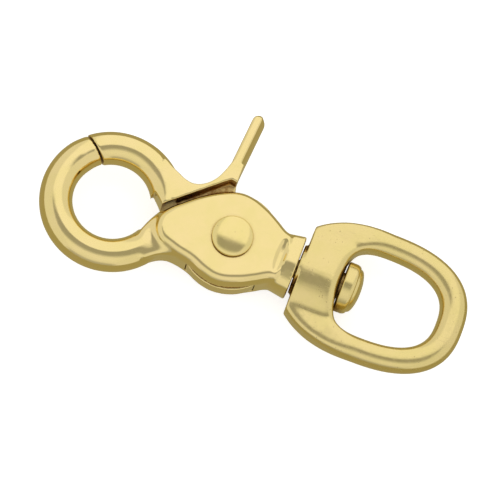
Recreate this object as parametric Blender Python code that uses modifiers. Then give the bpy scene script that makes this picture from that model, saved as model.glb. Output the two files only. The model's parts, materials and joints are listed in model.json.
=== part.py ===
"""Swivel hook: a solid brass scissor snap with an oval swivel eye.

The hook body is one casting: a fixed arc, two cheeks and a neck. The trigger turns on a rivet
between the cheeks and closes the ring against the tip of the fixed arc. A torsion spring in the
trigger's hub shuts it. A headed pin holds the eye to the neck, and the eye spins on it.

Everything is in metres. Sizes are taken from the rivet's axis: +X runs along the swivel pin
towards the eye, +Y towards the thumb lever and +Z along the rivet.
"""
import math

import bmesh
import bpy
from mathutils import Matrix, Vector

COLLECTION_NAME = "swivel_hook"

# Clearances
RUNNING_GAP = 0.0003
SEAT_GAP = 0.0003
CUT_OVERRUN = 0.003

# Hook ring, shared by the fixed arc and the trigger
STOCK_RADIUS = 0.00365
RING_RADIUS = 0.0122
RING_ROOT_X = -0.01515
RING_X = RING_ROOT_X - RING_RADIUS
RING_Y = -0.0008
JOINT_ANGLE = math.radians(128.0)
JOINT_LEAN = math.radians(12.0)
JOINT_OVERLAP_ANGLE = math.radians(17.0)
TIP_TAPER = 0.94
ARC_END_ANGLE = math.radians(334.0)

# Hook body
CHEEK_HALF_THICKNESS = 0.00525
CHEEK_HALF_WIDTH = 0.0108
CHEEK_EDGE_RADIUS = 0.0012
CHEEK_FRONT_X = -0.0169
NECK_START_X = 0.0120
NECK_END_X = 0.0153
NECK_HALF_WIDTH = 0.0065
NECK_CROWN_HALF_HEIGHT = 0.0059
NECK_SIDE_HALF_HEIGHT = 0.0043
NECK_CORNER = 0.0008
NECK_EDGE_RADIUS = 0.0004
NECK_OVERLAP = 0.0014
SLOT_HALF_THICKNESS = 0.0023
SLOT_FRONT_X = -0.0150
SLOT_FRONT_Y = 0.0006
SLOT_MOUTH_ANGLE = math.radians(60.0)
SLOT_END_ANGLE = math.radians(-170.0)
ROOT_HALF_THICKNESS = 0.0035
SCOOP_HALF_LENGTH = 0.0039
SCOOP_HALF_WIDTH = 0.0009
SCOOP_DEPTH = 0.0007

# Trigger
HUB_RADIUS = 0.0111
TRIGGER_ARC_END_ANGLE = math.radians(8.0)
JAW_HALF_THICKNESS = 0.00365
JAW_EDGE_RADIUS = 0.0013
UNDERSIDE_FRONT_X = -0.0168
UNDERSIDE_FRONT_Y = 0.0015
UNDERSIDE_SLOPE = 0.873
LEVER_TIP_Y = 0.0292
LEVER_FOOT_X = -0.00475
LEVER_FOOT_Y = 0.0135
LEVER_HALF_WIDTH = 0.00155
LEVER_LEAN = 0.0012
LEVER_CROWN = 0.0016

# Pivot rivet
RIVET_SHANK_RADIUS = 0.0022
RIVET_HEAD_RADIUS = 0.00453
RIVET_HEAD_RIM = 0.0004
RIVET_HEAD_DOME = 0.0010

# Torsion spring
SPRING_WIRE_RADIUS = 0.00035
SPRING_COIL_RADIUS = 0.0040
SPRING_TURNS = 2.5
SPRING_LEG = 0.0030
SPRING_TANG = 0.0012
POCKET_FLOOR = 0.0008

# Swivel eye
EYE_REAR_X = 0.0163
EYE_WIDEST_X = 0.0330
EYE_END_X = 0.05425
EYE_HALF_WIDTH = 0.01515
EYE_OPENING_REAR_X = 0.02566
EYE_OPENING_HALF_WIDTH = 0.00962
EYE_BOW_END_THICKNESS = 0.00605
EYE_BAR_HALF_HEIGHT = 0.0029
EYE_OUTER_BOW_POWER = 2.5
EYE_OUTER_REAR_POWER = 2.2
EYE_INNER_BOW_POWER = 2.65
EYE_INNER_REAR_POWER = 3.5
COLLAR_HALF_HEIGHT = 0.0057
COLLAR_CROWN_RADIUS = 0.0135
COLLAR_WING_HALF_HEIGHT = 0.0031
EYE_BOSS_RADIUS = 0.0056

# Swivel pin
PIN_RADIUS = 0.0030
PIN_HEAD_RADIUS = 0.0057
PIN_HEAD_RIM = 0.0029
PIN_HEAD_EDGE = 0.0007
PIN_HEAD_DOME = 0.0016
TENON_RADIUS = 0.0021
TENON_FLARE_RADIUS = 0.0027
TENON_FLARE_LENGTH = 0.0006


def origin_offset():
    """Place of the rivet's centre when the object's origin is under the middle of its box."""
    front = RING_X - RING_RADIUS - STOCK_RADIUS
    side = RING_Y - RING_RADIUS - STOCK_RADIUS
    low = min(side, -EYE_HALF_WIDTH)
    foot = CHEEK_HALF_THICKNESS + SEAT_GAP + RIVET_HEAD_RIM + RIVET_HEAD_DOME
    return Vector((-(front + EYE_END_X) / 2, -(low + LEVER_TIP_Y) / 2, foot))


def brass(name, colour, roughness):
    """Solid brass with its own colour and polish."""
    material = bpy.data.materials.new(name)
    material.use_nodes = True
    shader = material.node_tree.nodes["Principled BSDF"]
    shader.inputs["Base Color"].default_value = (*colour, 1.0)
    shader.inputs["Metallic"].default_value = 1.0
    shader.inputs["Roughness"].default_value = roughness
    return material


def make_collection(name, cutters=False):
    """New collection in the scene, hidden from renders when it holds cutters."""
    collection = bpy.data.collections.new(name)
    bpy.context.scene.collection.children.link(collection)
    collection.hide_render = cutters
    return collection


def add_object(name, data, collection, matrix=None):
    """Object for a mesh or a curve, placed by its matrix."""
    item = bpy.data.objects.new(name, data)
    collection.objects.link(item)
    if matrix is not None:
        item.matrix_world = matrix
    return item


def curve_to_mesh(item):
    """Welded mesh object that takes the place of a finished curve."""
    bpy.context.view_layer.update()
    graph = bpy.context.evaluated_depsgraph_get()
    mesh = bpy.data.meshes.new_from_object(item.evaluated_get(graph))
    work = bmesh.new()
    work.from_mesh(mesh)
    bmesh.ops.remove_doubles(work, verts=work.verts, dist=0.000005)
    bmesh.ops.dissolve_limit(
        work, angle_limit=math.radians(1.0), verts=work.verts, edges=work.edges, delimit={"NORMAL"})
    bmesh.ops.recalc_face_normals(work, faces=work.faces)
    work.to_mesh(mesh)
    work.free()
    name = item.name
    collection = item.users_collection[0]
    matrix = item.matrix_world.copy()
    bpy.data.objects.remove(item)
    return add_object(name, mesh, collection, matrix)


def outline_solid(name, points, half_thickness, edge_radius, collection, matrix=None):
    """Flat solid from a closed outline; a point's third item is AUTO (smooth) or VECTOR (corner)."""
    curve = bpy.data.curves.new(name, "CURVE")
    curve.dimensions = "2D"
    curve.fill_mode = "BOTH"
    curve.resolution_u = 4
    curve.extrude = half_thickness
    spline = curve.splines.new("BEZIER")
    spline.bezier_points.add(len(points) - 1)
    for knot, (x, y, handle) in zip(spline.bezier_points, points):
        knot.co = (x, y, 0.0)
        knot.handle_left_type = handle
        knot.handle_right_type = handle
    spline.use_cyclic_u = True
    item = curve_to_mesh(add_object(name, curve, collection, matrix))
    if edge_radius > 0.0:
        rounding = item.modifiers.new("edge rounding", "BEVEL")
        rounding.width = edge_radius
        rounding.segments = 3
        rounding.limit_method = "ANGLE"
        rounding.angle_limit = math.radians(60.0)
    return item


def bar_through(name, points, radius, sides_resolution, collection):
    """Round bar with flat ends along a polyline of (x, y, z, radius factor)."""
    curve = bpy.data.curves.new(name, "CURVE")
    curve.dimensions = "3D"
    curve.bevel_depth = radius
    curve.bevel_resolution = sides_resolution
    curve.use_fill_caps = True
    spline = curve.splines.new("POLY")
    spline.points.add(len(points) - 1)
    for knot, (x, y, z, factor) in zip(spline.points, points):
        knot.co = (x, y, z, 1.0)
        knot.radius = factor
    return curve_to_mesh(add_object(name, curve, collection))


def turned(name, profile, collection, matrix, steps=32):
    """Solid of revolution about its own Z from a profile of (radius, height), top to bottom."""
    mesh = bpy.data.meshes.new(name)
    verts = [(radius, 0.0, height) for radius, height in profile]
    edges = [(i, i + 1) for i in range(len(profile) - 1)]
    mesh.from_pydata(verts, edges, [])
    item = add_object(name, mesh, collection, matrix)
    screw = item.modifiers.new("turn", "SCREW")
    screw.steps = steps
    screw.render_steps = steps
    screw.use_merge_vertices = True
    screw.merge_threshold = 0.00001
    return item


def cylinder(name, radius, low, high, collection, matrix=None, vertices=32):
    """Plain cylinder along its own Z, for shafts and cutters."""
    mesh = bpy.data.meshes.new(name)
    work = bmesh.new()
    bmesh.ops.create_cone(
        work, cap_ends=True, segments=vertices, radius1=radius, radius2=radius, depth=high - low,
        matrix=Matrix.Translation((0.0, 0.0, (low + high) / 2)))
    work.to_mesh(mesh)
    work.free()
    return add_object(name, mesh, collection, matrix)


def combine(target, tool, operation):
    """Boolean that stays live on the target; the tool becomes a hidden wire guide."""
    step = target.modifiers.new(tool.name, "BOOLEAN")
    step.operation = operation
    step.solver = "EXACT"
    step.object = tool
    tool.hide_render = True
    tool.display_type = "WIRE"


def smooth_round(item):
    """Smooth shading that keeps edges sharper than 35 degrees."""
    item.data.shade_smooth()
    item.data.set_sharp_from_angle(angle=math.radians(35.0))


def on_ring(angle, radius=RING_RADIUS):
    """Point of the hook ring's plane at an angle about the ring's centre."""
    return RING_X + radius * math.cos(angle), RING_Y + radius * math.sin(angle)


def joint_plane_cutter(name, covers_trigger_side, collection):
    """Block whose face is one side of the leaning joint between the fixed tip and the trigger."""
    x, y = on_ring(JOINT_ANGLE)
    outward = JOINT_ANGLE + JOINT_LEAN
    side = Vector((math.sin(outward), -math.cos(outward), 0.0))
    reach = STOCK_RADIUS * 3
    shift = reach - SEAT_GAP / 2
    if not covers_trigger_side:
        side = -side
    mesh = bpy.data.meshes.new(name)
    work = bmesh.new()
    bmesh.ops.create_cube(work, size=2 * reach)
    work.to_mesh(mesh)
    work.free()
    place = Matrix.Translation(Vector((x, y, 0.0)) + side * shift)
    return add_object(name, mesh, collection, place @ Matrix.Rotation(outward, 4, "Z"))


def ring_arc_points(start, end, count, tip_factor=1.0):
    """Points along the ring's centreline; the stock narrows to the tip factor at the joint."""
    points = []
    for i in range(count):
        angle = start + (end - start) * i / (count - 1)
        x, y = on_ring(angle)
        share = min(max((angle - JOINT_ANGLE) / JOINT_OVERLAP_ANGLE, 0.0), 1.0)
        points.append((x, y, 0.0, tip_factor + (1.0 - tip_factor) * share))
    return points


def underside_y(x):
    """Height of the arm's straight underside at x."""
    return UNDERSIDE_FRONT_Y + (x - UNDERSIDE_FRONT_X) * UNDERSIDE_SLOPE


def cheek_outline():
    """Cheek plates seen along the rivet: round at the rivet, waisted at the neck, blunt in front."""
    w = CHEEK_HALF_WIDTH
    f = CHEEK_FRONT_X
    flare = w - NECK_HALF_WIDTH
    rear_shares = [(0.90, 0.12), (0.74, 0.37), (0.56, 0.62), (0.35, 0.83), (0.0, 1.0)]
    rear = [(NECK_START_X + NECK_OVERLAP, NECK_HALF_WIDTH, "VECTOR")]
    rear += [(NECK_START_X * a, NECK_HALF_WIDTH + flare * b, "AUTO") for a, b in rear_shares]
    front_shares = [
        (0.148, 0.97), (0.29, 0.885), (0.40, 0.785), (0.53, 0.655), (0.66, 0.50), (0.79, 0.315), (0.91, 0.13),
        (1.0, -0.11), (0.95, -0.45), (0.83, -0.66), (0.61, -0.76), (0.46, -0.85), (0.30, -0.935),
        (0.15, -0.985)]
    front = [(f * a, w * b, "AUTO") for a, b in front_shares]
    mirrored = [(x, -y, kind) for x, y, kind in reversed(rear)]
    return rear + front + mirrored


def root_outline():
    """Web that carries the fixed arc into the cheeks and walls off the front of the slot."""
    inner = RING_RADIUS - STOCK_RADIUS * 0.8
    outer = RING_RADIUS + STOCK_RADIUS * 0.8
    x_nose, y_nose = on_ring(math.radians(349.0), inner)
    x_in, y_in = on_ring(math.radians(330.0), inner)
    x_out, y_out = on_ring(math.radians(316.0), outer)
    x_heel, y_heel = on_ring(math.radians(332.0), RING_RADIUS + STOCK_RADIUS * 1.2)
    f = CHEEK_FRONT_X
    w = CHEEK_HALF_WIDTH
    return [
        (0.985 * f, 0.05 * w, "VECTOR"), (x_nose, y_nose, "AUTO"), (x_in, y_in, "VECTOR"),
        (x_out, y_out, "VECTOR"), (x_heel, y_heel, "AUTO"), (0.47 * f, -0.74 * w, "VECTOR"),
        (0.53 * f, 0.0, "VECTOR")]


def neck_section():
    """Crowned section of the neck, across the swivel axis."""
    w = NECK_HALF_WIDTH
    h = NECK_SIDE_HALF_HEIGHT
    top = NECK_CROWN_HALF_HEIGHT
    quarter = [
        (w, h - NECK_CORNER, "AUTO"), (w - NECK_CORNER * 0.8, h, "AUTO"), (w / 2, (h + 2 * top) / 3, "AUTO")]
    mirrored = [(-x, y, kind) for x, y, kind in reversed(quarter)]
    upper = quarter + [(0.0, top, "AUTO")] + mirrored
    lower = [(-x, -y, kind) for x, y, kind in upper]
    return upper + lower


def slot_outline():
    """Slot between the cheeks: round for the hub, and open upwards and forwards for the web."""
    reach = HUB_RADIUS + RUNNING_GAP
    count = 20
    points = []
    for i in range(count):
        angle = SLOT_MOUTH_ANGLE + (SLOT_END_ANGLE - SLOT_MOUTH_ANGLE) * i / (count - 1)
        points.append((reach * math.cos(angle), reach * math.sin(angle), "VECTOR"))
    beyond = max(CHEEK_HALF_WIDTH, HUB_RADIUS) + CUT_OVERRUN
    return points + [
        (SLOT_FRONT_X, SLOT_FRONT_Y, "VECTOR"), (SLOT_FRONT_X, beyond, "VECTOR"),
        (reach * math.cos(SLOT_MOUTH_ANGLE), beyond, "VECTOR")]


def along_x(x=0.0):
    """Matrix that lays a solid's own Z along +X, starting at x."""
    return Matrix.Translation((x, 0.0, 0.0)) @ Matrix.Rotation(math.radians(90.0), 4, "Y")


def section_along_x(x):
    """Matrix that stands an XY outline across the swivel axis at x."""
    turn = Matrix(((0, 0, 1, 0), (1, 0, 0, 0), (0, 1, 0, 0), (0, 0, 0, 1)))
    return Matrix.Translation((x, 0.0, 0.0)) @ turn


def make_hook_body(parts, cutters):
    """One casting: cheeks, neck, root web and fixed arc, with the slot and the bores cut."""
    body = outline_solid(
        "hook_body", cheek_outline(), CHEEK_HALF_THICKNESS, CHEEK_EDGE_RADIUS, parts)
    neck_half = (NECK_END_X - NECK_START_X) / 2
    neck = outline_solid(
        "neck_guide", neck_section(), neck_half, NECK_EDGE_RADIUS, cutters,
        section_along_x(NECK_START_X + neck_half))
    root = outline_solid(
        "root_guide", root_outline(), ROOT_HALF_THICKNESS, CHEEK_EDGE_RADIUS, cutters)
    arc = bar_through(
        "arc_guide",
        ring_arc_points(JOINT_ANGLE - JOINT_OVERLAP_ANGLE, ARC_END_ANGLE, 28, TIP_TAPER),
        STOCK_RADIUS, 6, cutters)
    combine(arc, joint_plane_cutter("tip_cutter", True, cutters), "DIFFERENCE")
    for joined in (root, arc, neck):
        combine(body, joined, "UNION")

    slot_depth = SLOT_HALF_THICKNESS
    slot = outline_solid("slot_cutter", slot_outline(), slot_depth, 0.0, cutters)
    rivet_reach = CHEEK_HALF_THICKNESS + CUT_OVERRUN
    rivet_hole = cylinder(
        "rivet_hole_cutter", RIVET_SHANK_RADIUS + RUNNING_GAP, -rivet_reach, rivet_reach, cutters)
    tenon_hole = cylinder(
        "tenon_hole_cutter", TENON_RADIUS + SEAT_GAP, HUB_RADIUS - CUT_OVERRUN,
        NECK_END_X + CUT_OVERRUN, cutters, along_x(), vertices=24)
    wall = HUB_RADIUS + RUNNING_GAP
    flare = cylinder(
        "flare_cutter", TENON_FLARE_RADIUS + SEAT_GAP, wall - TENON_FLARE_LENGTH,
        wall + TENON_FLARE_LENGTH + SEAT_GAP, cutters, along_x(), vertices=24)
    tang_hole = cylinder(
        "tang_hole_cutter", SPRING_WIRE_RADIUS + RUNNING_GAP,
        -SLOT_HALF_THICKNESS - SPRING_TANG - RUNNING_GAP, 0.0, cutters,
        Matrix.Translation((SPRING_COIL_RADIUS, 0.0, 0.0)), vertices=12)
    for cut in (slot, rivet_hole, tenon_hole, flare, tang_hole):
        combine(body, cut, "DIFFERENCE")
    for side in (1.0, -1.0):
        combine(body, scoop_cutter(side, cutters), "DIFFERENCE")
    smooth_round(body)
    return body


def scoop_cutter(side, cutters):
    """Shallow scoop across a cheek, where its flat runs out against the crowned neck."""
    mesh = bpy.data.meshes.new("scoop_cutter")
    work = bmesh.new()
    bmesh.ops.create_uvsphere(work, u_segments=16, v_segments=10, radius=1.0)
    height = 2 * SCOOP_DEPTH
    scale = Matrix.Diagonal((SCOOP_HALF_WIDTH, SCOOP_HALF_LENGTH, height, 1.0))
    bmesh.ops.transform(work, matrix=scale, verts=work.verts)
    work.to_mesh(mesh)
    work.free()
    lift = side * (CHEEK_HALF_THICKNESS + height - SCOOP_DEPTH)
    place = Matrix.Translation((NECK_START_X - SCOOP_HALF_WIDTH * 0.6, 0.0, lift))
    return add_object("scoop_cutter", mesh, cutters, place)


def arm_outline():
    """Jaw's arm, from the ring's stock along the straight underside to the lever's foot."""
    x_top, y_top = on_ring(math.radians(60.0), RING_RADIUS + STOCK_RADIUS * 0.7)
    x_side, y_side = on_ring(math.radians(55.0))
    x_low, y_low = on_ring(math.radians(28.0))
    x_front = UNDERSIDE_FRONT_X + 0.5 * STOCK_RADIUS
    x_end = LEVER_FOOT_X
    right = LEVER_FOOT_X + LEVER_HALF_WIDTH
    left = LEVER_FOOT_X - LEVER_HALF_WIDTH
    return [
        (x_top, y_top, "VECTOR"), (x_side, y_side, "VECTOR"), (x_low, y_low, "AUTO"),
        (x_front, underside_y(x_front), "VECTOR"), (x_end, underside_y(x_end), "VECTOR"),
        (right, LEVER_FOOT_Y - 0.7 * LEVER_HALF_WIDTH, "VECTOR"),
        (right, LEVER_FOOT_Y + 1.6 * LEVER_HALF_WIDTH, "VECTOR"),
        (left, LEVER_FOOT_Y + 1.6 * LEVER_HALF_WIDTH, "AUTO"),
        (left - 0.8 * LEVER_HALF_WIDTH, LEVER_FOOT_Y - 0.7 * LEVER_HALF_WIDTH, "AUTO"),
        (left - 2.2 * LEVER_HALF_WIDTH, LEVER_FOOT_Y - 2.5 * LEVER_HALF_WIDTH, "AUTO"),
        (0.55 * left + 0.45 * x_top, LEVER_FOOT_Y - 3.0 * LEVER_HALF_WIDTH, "AUTO"),
        (0.27 * left + 0.73 * x_top, LEVER_FOOT_Y - 2.2 * LEVER_HALF_WIDTH, "AUTO")]


def web_outline():
    """Web between the hub and the arm, thin enough to swing in the slot."""
    front = SLOT_FRONT_X + 4 * RUNNING_GAP
    return [
        (front, underside_y(front) - 3 * RUNNING_GAP, "VECTOR"),
        (-0.86 * HUB_RADIUS, -0.27 * HUB_RADIUS, "VECTOR"), (0.0, 0.0, "VECTOR"),
        (LEVER_FOOT_X + LEVER_HALF_WIDTH, LEVER_FOOT_Y - 0.6 * LEVER_HALF_WIDTH, "VECTOR"),
        (LEVER_FOOT_X - LEVER_HALF_WIDTH, LEVER_FOOT_Y - 0.6 * LEVER_HALF_WIDTH, "VECTOR"),
        (front, underside_y(front) + 8 * RUNNING_GAP, "VECTOR")]


def underside_cutter(cutters):
    """Block that ends the jaw's stock along the arm's underside, with its inner corner taken off."""
    x_far = UNDERSIDE_FRONT_X + 3 * STOCK_RADIUS
    drop = 4 * STOCK_RADIUS
    x_corner = UNDERSIDE_FRONT_X - 0.75 * STOCK_RADIUS
    points = [
        (x_far, underside_y(x_far), "VECTOR"), (UNDERSIDE_FRONT_X, UNDERSIDE_FRONT_Y, "VECTOR"),
        (x_corner, UNDERSIDE_FRONT_Y + 0.68 * STOCK_RADIUS, "VECTOR"),
        (x_corner, underside_y(x_corner) - drop, "VECTOR"), (x_far, underside_y(x_far) - drop, "VECTOR")]
    return outline_solid("underside_cutter", points, STOCK_RADIUS + CUT_OVERRUN, 0.0, cutters)


def lever_section():
    """Thumb lever's section across its length: widest at mid height, narrowed to both faces."""
    w = LEVER_HALF_WIDTH
    h = JAW_HALF_THICKNESS
    flat = 0.6 * w
    quarter = [(w, 0.0, "AUTO"), (0.93 * w, 0.55 * h, "AUTO"), (flat, h, "AUTO")]
    upper = quarter + [(-x, y, kind) for x, y, kind in reversed(quarter)]
    lower = [(-x, -y, kind) for x, y, kind in upper[1:-1]]
    return upper + lower


def make_trigger(parts, cutters):
    """Jaw, hub and thumb lever in one casting, turning on the rivet."""
    hub_half = SLOT_HALF_THICKNESS - RUNNING_GAP
    trigger = cylinder("trigger", HUB_RADIUS, -hub_half, hub_half, parts, vertices=48)
    web = outline_solid("web_guide", web_outline(), hub_half * 0.98, 0.0, cutters)
    arm = outline_solid("arm_guide", arm_outline(), JAW_HALF_THICKNESS, JAW_EDGE_RADIUS, cutters)
    jaw = bar_through(
        "jaw_guide",
        ring_arc_points(JOINT_ANGLE + JOINT_OVERLAP_ANGLE, TRIGGER_ARC_END_ANGLE, 22),
        STOCK_RADIUS * 0.998, 6, cutters)
    combine(jaw, joint_plane_cutter("nose_cutter", False, cutters), "DIFFERENCE")
    combine(jaw, underside_cutter(cutters), "DIFFERENCE")
    for joined in (web, arm, jaw, make_lever(cutters)):
        combine(trigger, joined, "UNION")

    bore = cylinder(
        "hub_bore_cutter", RIVET_SHANK_RADIUS + RUNNING_GAP, -CUT_OVERRUN, CUT_OVERRUN, cutters)
    pocket_radius = SPRING_COIL_RADIUS + SPRING_WIRE_RADIUS + 2 * RUNNING_GAP
    floor = hub_half - POCKET_FLOOR
    pocket = cylinder("pocket_cutter", pocket_radius, -CUT_OVERRUN, floor, cutters)
    leg_reach = SPRING_COIL_RADIUS + SPRING_LEG + RUNNING_GAP
    leg_half = SPRING_WIRE_RADIUS + RUNNING_GAP
    leg_slot = outline_solid(
        "leg_slot_cutter",
        [(0.0, leg_half, "VECTOR"), (-leg_reach, leg_half, "VECTOR"),
         (-leg_reach, -leg_half, "VECTOR"), (0.0, -leg_half, "VECTOR")],
        (CUT_OVERRUN + floor) / 2, 0.0, cutters,
        Matrix.Translation((0.0, 0.0, (floor - CUT_OVERRUN) / 2)))
    for cut in (bore, pocket, leg_slot):
        combine(trigger, cut, "DIFFERENCE")
    smooth_round(trigger)
    return trigger


def make_lever(cutters):
    """Thumb lever: its section carried up in stations that lean back and round off at the tip."""
    section = lever_section()
    rise = LEVER_TIP_Y - LEVER_FOOT_Y
    stations = [
        (LEVER_FOOT_Y, 1.0), (LEVER_FOOT_Y + 0.5 * rise, 1.0), (LEVER_TIP_Y - LEVER_CROWN, 1.0),
        (LEVER_TIP_Y - 0.4 * LEVER_CROWN, 0.85), (LEVER_TIP_Y, 0.45)]
    rings = []
    for y, share in stations:
        x = LEVER_FOOT_X + LEVER_LEAN * (y - LEVER_FOOT_Y) / rise
        rings.append([Vector((x + share * a, y, share ** 0.3 * b)) for a, b, _ in section])
    return loft("lever_guide", rings, cutters)


def loft(name, rings, collection, closed=False):
    """Skin of quads through rings of equal count, capped at both ends unless it is a loop."""
    mesh = bpy.data.meshes.new(name)
    work = bmesh.new()
    rows = [[work.verts.new(point) for point in ring] for ring in rings]
    pairs = list(zip(rows, rows[1:]))
    if closed:
        pairs.append((rows[-1], rows[0]))
    for row, following in pairs:
        for i in range(len(row)):
            j = (i + 1) % len(row)
            work.faces.new((row[i], row[j], following[j], following[i]))
    if not closed:
        work.faces.new(rows[0])
        work.faces.new(rows[-1])
    bmesh.ops.recalc_face_normals(work, faces=work.faces)
    work.to_mesh(mesh)
    work.free()
    return add_object(name, mesh, collection)


def rivet_head(top):
    """Profile of one low domed head, from its apex to its underside at the shank."""
    rim = top - RIVET_HEAD_DOME
    points = []
    count = 5
    for i in range(count):
        angle = math.radians(90.0) * (1 - i / count)
        points.append((RIVET_HEAD_RADIUS * math.cos(angle), rim + RIVET_HEAD_DOME * math.sin(angle)))
    points[0] = (0.0, top)
    points.append((RIVET_HEAD_RADIUS, rim))
    points.append((RIVET_HEAD_RADIUS, rim - RIVET_HEAD_RIM))
    points.append((RIVET_SHANK_RADIUS, rim - RIVET_HEAD_RIM))
    return points


def make_rivet(parts):
    """Pivot rivet with a domed head on each cheek."""
    top = CHEEK_HALF_THICKNESS + SEAT_GAP + RIVET_HEAD_RIM + RIVET_HEAD_DOME
    upper = rivet_head(top)
    lower = [(radius, -height) for radius, height in reversed(upper)]
    rivet = turned("pivot_rivet", upper + lower, parts, Matrix.Identity(4))
    smooth_round(rivet)
    return rivet


def make_spring(parts):
    """Torsion spring round the rivet: one leg in the hub's slot, one tang in the lower cheek."""
    per_turn = 16
    count = int(SPRING_TURNS * per_turn)
    start_z = -(SLOT_HALF_THICKNESS - SPRING_WIRE_RADIUS) + RUNNING_GAP
    end_z = SLOT_HALF_THICKNESS - POCKET_FLOOR - 2 * RUNNING_GAP - SPRING_WIRE_RADIUS
    points = [(SPRING_COIL_RADIUS, 0.0, -SLOT_HALF_THICKNESS - SPRING_TANG, 1.0)]
    for i in range(count + 1):
        angle = math.tau * i / per_turn
        z = start_z + (end_z - start_z) * i / count
        points.append((SPRING_COIL_RADIUS * math.cos(angle), SPRING_COIL_RADIUS * math.sin(angle), z, 1.0))
    x, y, z, _ = points[-1]
    points.append((x - SPRING_LEG, y, z, 1.0))
    return bar_through("torsion_spring", points, SPRING_WIRE_RADIUS, 2, parts)


def superellipse_point(angle, half_length, half_width, power):
    """Point of a squared-off ellipse."""
    c = math.cos(angle)
    s = math.sin(angle)
    x = half_length * math.copysign(abs(c) ** (2 / power), c)
    y = half_width * math.copysign(abs(s) ** (2 / power), s)
    return x, y


def eye_pair(angle):
    """Matching points of the eye's inner and outer outlines."""
    ahead = math.cos(angle) >= 0
    out_length = EYE_END_X - EYE_WIDEST_X
    in_length = out_length - EYE_BOW_END_THICKNESS if ahead else EYE_WIDEST_X - EYE_OPENING_REAR_X
    outer_power = EYE_OUTER_BOW_POWER if ahead else EYE_OUTER_REAR_POWER
    inner_power = EYE_INNER_BOW_POWER if ahead else EYE_INNER_REAR_POWER
    outer = superellipse_point(angle, out_length, EYE_HALF_WIDTH, outer_power)
    inner = superellipse_point(angle, in_length, EYE_OPENING_HALF_WIDTH, inner_power)
    return inner, outer


def eye_half_height(y):
    """Half the eye's height at a distance from the swivel axis: a round crown between flat wings."""
    reach = min(abs(y), COLLAR_CROWN_RADIUS)
    drop = COLLAR_CROWN_RADIUS - math.sqrt(COLLAR_CROWN_RADIUS ** 2 - reach ** 2)
    crown = max(COLLAR_HALF_HEIGHT - drop, 0.0)
    return (crown ** 10 + COLLAR_WING_HALF_HEIGHT ** 10) ** 0.1


def eye_ring(angle, count=16):
    """Section of the eye between its inner and outer outlines; fuller where it is the collar."""
    inner, outer = eye_pair(angle)
    back = max(0.0, -math.cos(angle))
    middle = Vector(((inner[0] + outer[0]) / 2 + EYE_WIDEST_X, (inner[1] + outer[1]) / 2, 0.0))
    half = Vector(((outer[0] - inner[0]) / 2, (outer[1] - inner[1]) / 2, 0.0))
    blend = min(1.0, back * 2.2)
    power = 2.3 + 2.7 * blend
    points = []
    for i in range(count):
        a, b = superellipse_point(math.tau * i / count, 1.0, 1.0, power)
        place = middle + half * a
        height = EYE_BAR_HALF_HEIGHT + (eye_half_height(place.y) - EYE_BAR_HALF_HEIGHT) * blend
        points.append(place + Vector((0.0, 0.0, height * b)))
    return points


def make_eye(parts, cutters):
    """Oval eye with a crowned collar, bored for the swivel pin."""
    stations = 48
    rings = [eye_ring(math.tau * i / stations) for i in range(stations)]
    eye = loft("swivel_eye", rings, parts, closed=True)
    aside = EYE_HALF_WIDTH + CUT_OVERRUN
    rear_cut = outline_solid(
        "collar_rear_cutter",
        [(EYE_REAR_X, aside, "VECTOR"), (0.0, aside, "VECTOR"), (0.0, -aside, "VECTOR"),
         (EYE_REAR_X, -aside, "VECTOR")], COLLAR_HALF_HEIGHT + CUT_OVERRUN, 0.0, cutters)
    bore = cylinder(
        "eye_bore_cutter", PIN_RADIUS + RUNNING_GAP, EYE_REAR_X - CUT_OVERRUN,
        EYE_OPENING_REAR_X + CUT_OVERRUN, cutters, along_x(), vertices=24)
    boss = cylinder(
        "eye_boss_guide", EYE_BOSS_RADIUS, NECK_END_X + RUNNING_GAP, EYE_REAR_X + CUT_OVERRUN,
        cutters, along_x(), vertices=24)
    spot_face = cylinder(
        "spot_face_cutter", PIN_HEAD_RADIUS + RUNNING_GAP, EYE_OPENING_REAR_X,
        EYE_WIDEST_X, cutters, along_x(), vertices=32)
    combine(eye, rear_cut, "DIFFERENCE")
    combine(eye, spot_face, "DIFFERENCE")
    combine(eye, boss, "UNION")
    combine(eye, bore, "DIFFERENCE")
    smooth_round(eye)
    return eye


def make_pin(parts):
    """Swivel pin: domed head in the eye, shank through the collar, tenon flared in the neck."""
    seat = EYE_OPENING_REAR_X + SEAT_GAP
    rim = seat + PIN_HEAD_RIM
    dome_radius = PIN_HEAD_RADIUS - PIN_HEAD_EDGE
    profile = [(0.0, rim + PIN_HEAD_DOME)]
    count = 4
    for i in range(1, count + 1):
        share = i / count
        profile.append((dome_radius * share, rim + PIN_HEAD_DOME * (1 - share ** 2)))
    shoulder = NECK_END_X + SEAT_GAP
    tail = HUB_RADIUS + RUNNING_GAP + SEAT_GAP
    profile += [
        (PIN_HEAD_RADIUS, rim - PIN_HEAD_EDGE), (PIN_HEAD_RADIUS, seat + 0.5 * PIN_HEAD_EDGE),
        (dome_radius, seat), (PIN_RADIUS, seat),
        (PIN_RADIUS, shoulder), (TENON_RADIUS, shoulder), (TENON_RADIUS, tail + TENON_FLARE_LENGTH),
        (TENON_FLARE_RADIUS, tail), (0.0, tail)]
    pin = turned("swivel_pin", profile, parts, along_x())
    smooth_round(pin)
    return pin


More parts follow.
